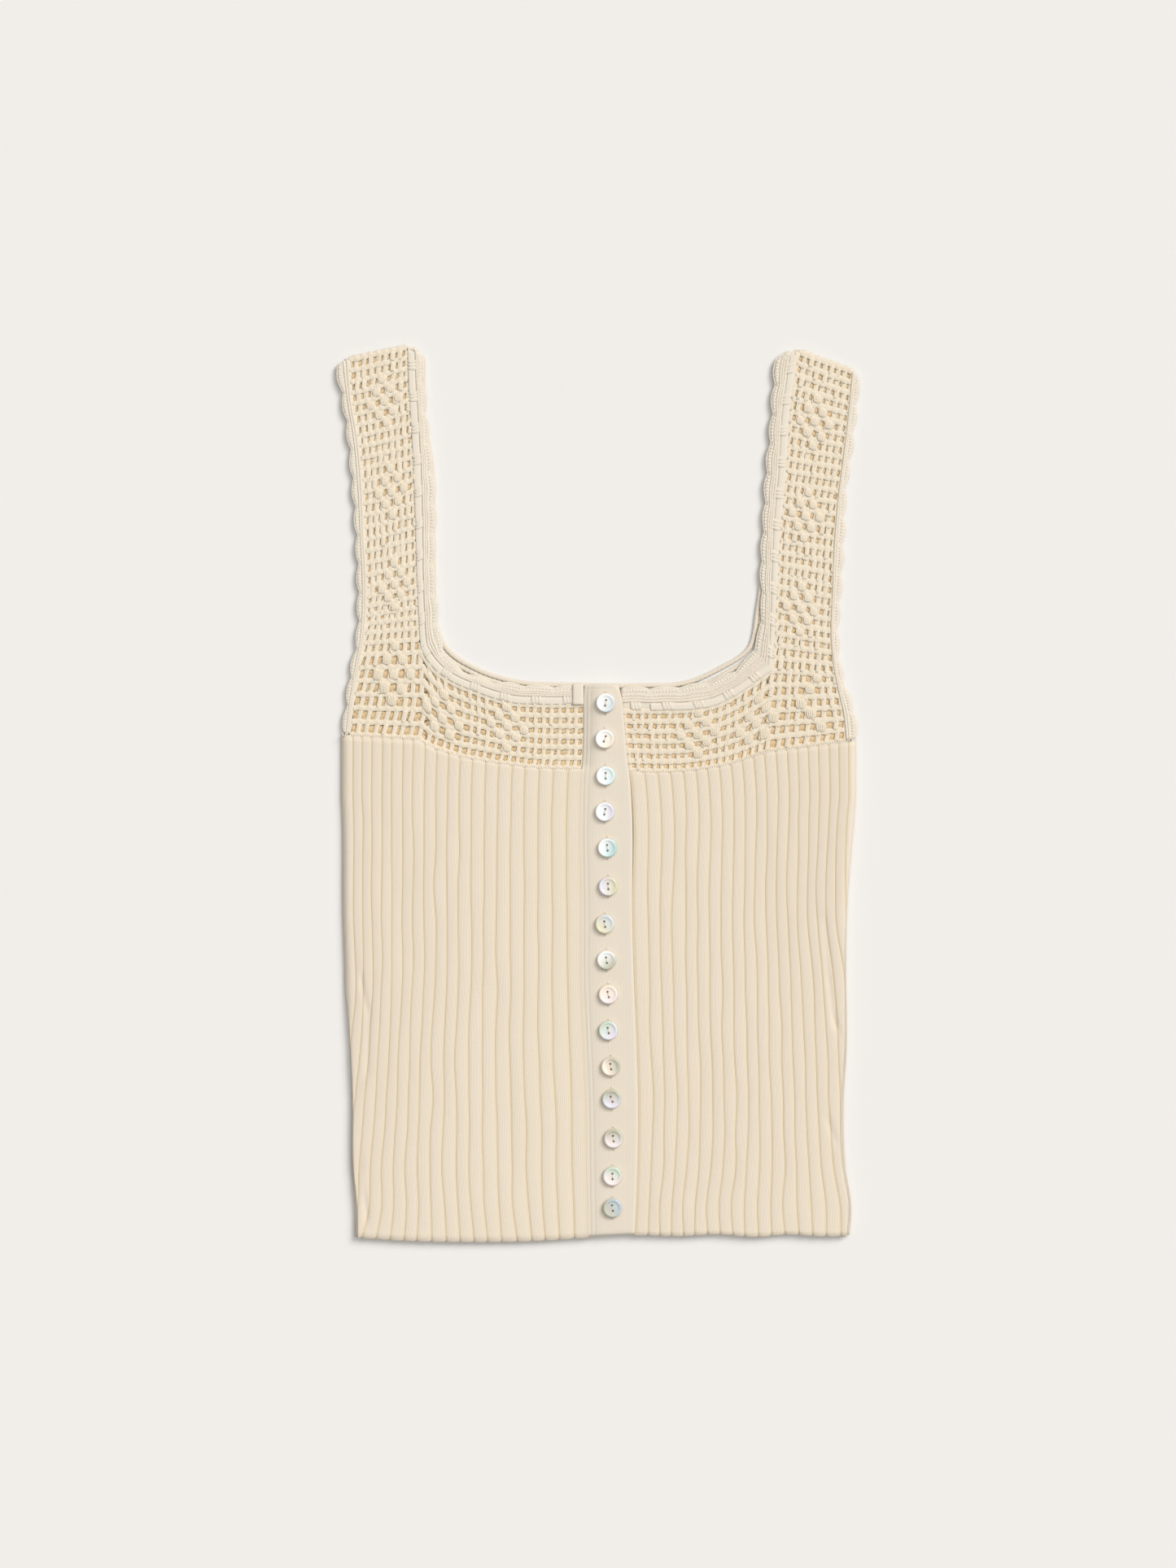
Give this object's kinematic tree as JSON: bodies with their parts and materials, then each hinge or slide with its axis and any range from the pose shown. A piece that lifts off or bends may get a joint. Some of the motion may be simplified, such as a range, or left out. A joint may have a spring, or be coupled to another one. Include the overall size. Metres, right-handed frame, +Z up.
{
  "type": "crochet top",
  "caption": "Sleeveless crochet top laid flat: filet-crochet yoke with raised puff diamonds and wide straps, ribbed knit body, taped scalloped neck and a buttoned centre front.",
  "frame": {"origin": "the middle of the underside of the whole top's bounding box, on the surface it lies on", "axes": "+Z up out of the front of the top, +Y along the centre front toward the shoulders, +X toward the right of someone who looks down on it"},
  "size_m": [0.3052, 0.5251, 0.0083],
  "materials": {
    "rib_knit": "cream wide-rib knit",
    "net_crochet": "cream filet crochet",
    "edge_crochet": "cream crocheted edging",
    "tape": "cream woven tape",
    "band_knit": "cream knit band",
    "shell": "polished mother of pearl"
  },
  "bodies": {
    "root": {"back_rib": "rib_knit", "yoke_back": "net_crochet", "front_left_rib": "rib_knit", "front_right_rib": "rib_knit", "yoke_front_left": "net_crochet", "yoke_front_right": "net_crochet", "edging_neck_left": "edge_crochet", "edging_neck_right": "edge_crochet", "edging_arm_left": "edge_crochet", "edging_arm_right": "edge_crochet", "neck_tape_left": "tape", "neck_tape_right": "tape", "neck_tape_end": "tape", "placket_under": "band_knit", "placket_over": "band_knit", "button_01": "shell", "button_02": "shell", "button_03": "shell", "button_04": "shell", "button_05": "shell", "button_06": "shell", "button_07": "shell", "button_08": "shell", "button_09": "shell", "button_10": "shell", "button_11": "shell", "button_12": "shell", "button_13": "shell", "button_14": "shell", "button_15": "shell"}
  },
  "joints": []
}
